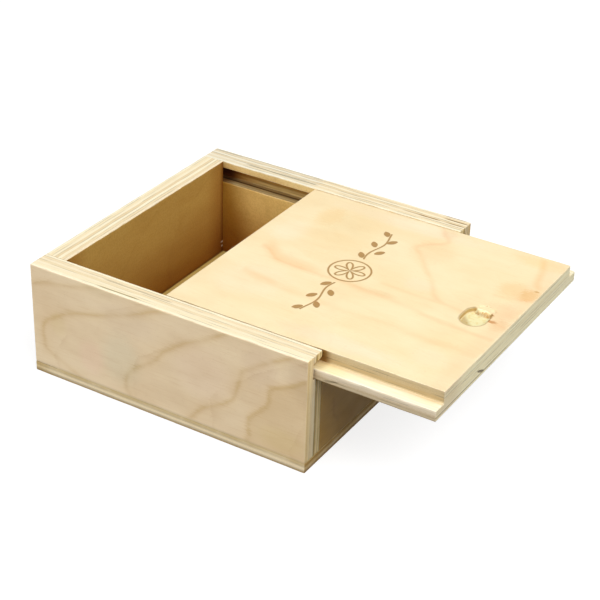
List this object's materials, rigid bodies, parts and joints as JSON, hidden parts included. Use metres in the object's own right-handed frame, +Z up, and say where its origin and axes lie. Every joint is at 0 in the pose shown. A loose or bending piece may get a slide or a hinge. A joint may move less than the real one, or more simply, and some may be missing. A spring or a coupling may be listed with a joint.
{
  "type": "sliding lid wooden box",
  "caption": "Small square plywood keepsake box with a rebated lid that slides in grooves in its side walls and draws out over a lower front wall.",
  "frame": {"origin": "middle of the base panel's underside", "axes": "+X the way the lid draws out, +Y across the box from the near side wall to the far one, +Z up"},
  "size_m": [0.1664, 0.1226, 0.0462],
  "materials": {
    "plywood_walls": "bare sanded birch plywood, laminated edges showing",
    "plywood_base": "bare sanded thin birch plywood",
    "plywood_lid": "bare sanded birch plywood, pale face veneer"
  },
  "bodies": {
    "box": {"base_panel": "plywood_base", "near_side_wall": "plywood_walls", "far_side_wall": "plywood_walls", "back_wall": "plywood_walls", "front_wall": "plywood_walls"},
    "lid": {"sliding_lid": "plywood_lid"}
  },
  "joints": [
    {"name": "lid_slide", "type": "slide", "parent": "box", "child": "lid", "axis": [1, 0, 0], "range_m": [-0.0446, 0.07]}
  ]
}
